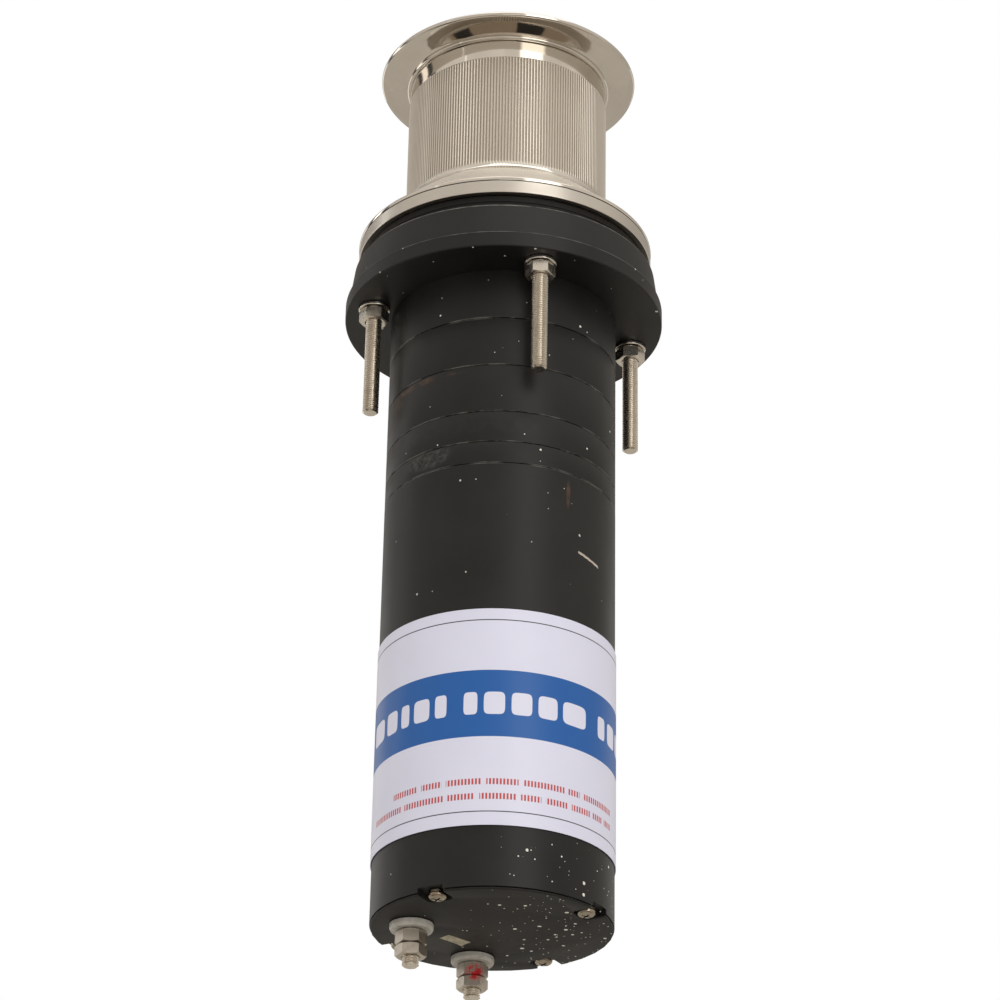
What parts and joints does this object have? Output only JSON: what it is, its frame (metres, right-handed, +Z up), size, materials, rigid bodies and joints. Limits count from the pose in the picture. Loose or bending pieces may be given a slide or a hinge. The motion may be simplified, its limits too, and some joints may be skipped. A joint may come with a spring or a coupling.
{
  "type": "anchor windlass",
  "caption": "Vertical anchor windlass: fluted rope drum with a flared crown on a round deck base, driven through planetary gears by a long motor hung below deck.",
  "frame": {"origin": "on the drum axis in the deck plane, the underside of the deck base", "axes": "+Z up along the drum axis, from the motor to the crown; the power terminals lie on the -X and +Y sides of the motor's lower end"},
  "size_m": [0.161, 0.161, 0.5102],
  "materials": {
    "polished_steel": "polished stainless steel, warm grey reflections",
    "plain_steel": "plain stainless fasteners",
    "gear_steel": "machined steel, oiled",
    "black_paint": "satin black paint, worn and speckled",
    "black_plastic": "moulded, matt",
    "black_rubber": "matt",
    "white_nylon": "translucent milky white",
    "label_film": "printed film, satin",
    "bronze": "machined",
    "copper": "turned",
    "core_iron": "laminated",
    "ferrite": "matt",
    "carbon": "matt"
  },
  "bodies": {
    "root": {"adapter_plate": "black_paint", "base_bezel": "polished_steel", "bezel_gasket": "black_rubber", "brush_plate": "black_plastic", "carbon_brush_1": "carbon", "carbon_brush_2": "carbon", "deck_base": "black_paint", "field_magnet_1": "ferrite", "field_magnet_2": "ferrite", "field_magnet_3": "ferrite", "field_magnet_4": "ferrite", "gearbox_housing": "black_paint", "input_ring_gear": "black_paint", "motor_end_bell": "black_paint", "motor_front_bell": "black_paint", "motor_label": "label_film", "motor_tube": "black_paint", "mounting_stud_1": "plain_steel", "mounting_stud_2": "plain_steel", "mounting_stud_3": "plain_steel", "mounting_stud_4": "plain_steel", "output_ring_gear": "black_paint", "shaft_seal": "black_rubber", "stud_nut_1": "plain_steel", "stud_nut_2": "plain_steel", "stud_nut_3": "plain_steel", "stud_nut_4": "plain_steel", "stud_washer_1": "plain_steel", "stud_washer_2": "plain_steel", "stud_washer_3": "plain_steel", "stud_washer_4": "plain_steel", "terminal_insulator_1": "white_nylon", "terminal_insulator_2": "white_nylon", "terminal_lock_nut_1": "plain_steel", "terminal_lock_nut_2": "plain_steel", "terminal_nut_1": "plain_steel", "terminal_nut_2": "plain_steel", "terminal_stud_1": "plain_steel", "terminal_stud_2": "plain_steel", "through_bolt_1": "plain_steel", "through_bolt_2": "plain_steel", "through_bolt_3": "plain_steel", "through_bolt_4": "plain_steel", "upper_bearing": "bronze"},
    "drum": {"drum_barrel": "polished_steel", "drum_crown": "polished_steel", "crown_cap": "polished_steel", "main_shaft": "gear_steel", "drum_key": "gear_steel"},
    "output_planet_1": {"output_planet_1": "gear_steel"},
    "output_planet_2": {"output_planet_2": "gear_steel"},
    "output_planet_3": {"output_planet_3": "gear_steel"},
    "intermediate_gear": {"output_sun": "gear_steel"},
    "input_planet_1": {"input_planet_1": "gear_steel"},
    "input_planet_2": {"input_planet_2": "gear_steel"},
    "input_planet_3": {"input_planet_3": "gear_steel"},
    "armature": {"armature_shaft": "gear_steel", "armature_core": "core_iron", "commutator": "copper"}
  },
  "joints": [
    {"name": "drum_spin", "type": "hinge", "parent": "root", "child": "drum", "pos_m": [0, 0, 0.09], "axis": [0, 0, 1], "continuous": true},
    {"name": "output_planet_1_spin", "type": "hinge", "parent": "drum", "child": "output_planet_1", "pos_m": [0.02625, 0, -0.048], "axis": [0, 0, 1], "continuous": true},
    {"name": "output_planet_2_spin", "type": "hinge", "parent": "drum", "child": "output_planet_2", "pos_m": [-0.01312, 0.02273, -0.048], "axis": [0, 0, 1], "continuous": true},
    {"name": "output_planet_3_spin", "type": "hinge", "parent": "drum", "child": "output_planet_3", "pos_m": [-0.01312, -0.02273, -0.048], "axis": [0, 0, 1], "continuous": true},
    {"name": "intermediate_spin", "type": "hinge", "parent": "root", "child": "intermediate_gear", "pos_m": [0, 0, -0.06], "axis": [0, 0, 1], "continuous": true},
    {"name": "input_planet_1_spin", "type": "hinge", "parent": "intermediate_gear", "child": "input_planet_1", "pos_m": [0.02625, 0, -0.078], "axis": [0, 0, 1], "continuous": true},
    {"name": "input_planet_2_spin", "type": "hinge", "parent": "intermediate_gear", "child": "input_planet_2", "pos_m": [-0.01312, 0.02273, -0.078], "axis": [0, 0, 1], "continuous": true},
    {"name": "input_planet_3_spin", "type": "hinge", "parent": "intermediate_gear", "child": "input_planet_3", "pos_m": [-0.01312, -0.02273, -0.078], "axis": [0, 0, 1], "continuous": true},
    {"name": "armature_spin", "type": "hinge", "parent": "root", "child": "armature", "pos_m": [0, 0, -0.2], "axis": [0, 0, 1], "continuous": true}
  ],
  "couplings": [
    {"joint": "output_planet_1_spin", "follows": "drum_spin", "ratio": -2.6667},
    {"joint": "output_planet_2_spin", "follows": "drum_spin", "ratio": -2.6667},
    {"joint": "output_planet_3_spin", "follows": "drum_spin", "ratio": -2.6667},
    {"joint": "intermediate_spin", "follows": "drum_spin", "ratio": 5},
    {"joint": "input_planet_1_spin", "follows": "drum_spin", "ratio": -13.333},
    {"joint": "input_planet_2_spin", "follows": "drum_spin", "ratio": -13.333},
    {"joint": "input_planet_3_spin", "follows": "drum_spin", "ratio": -13.333},
    {"joint": "armature_spin", "follows": "drum_spin", "ratio": 25}
  ]
}
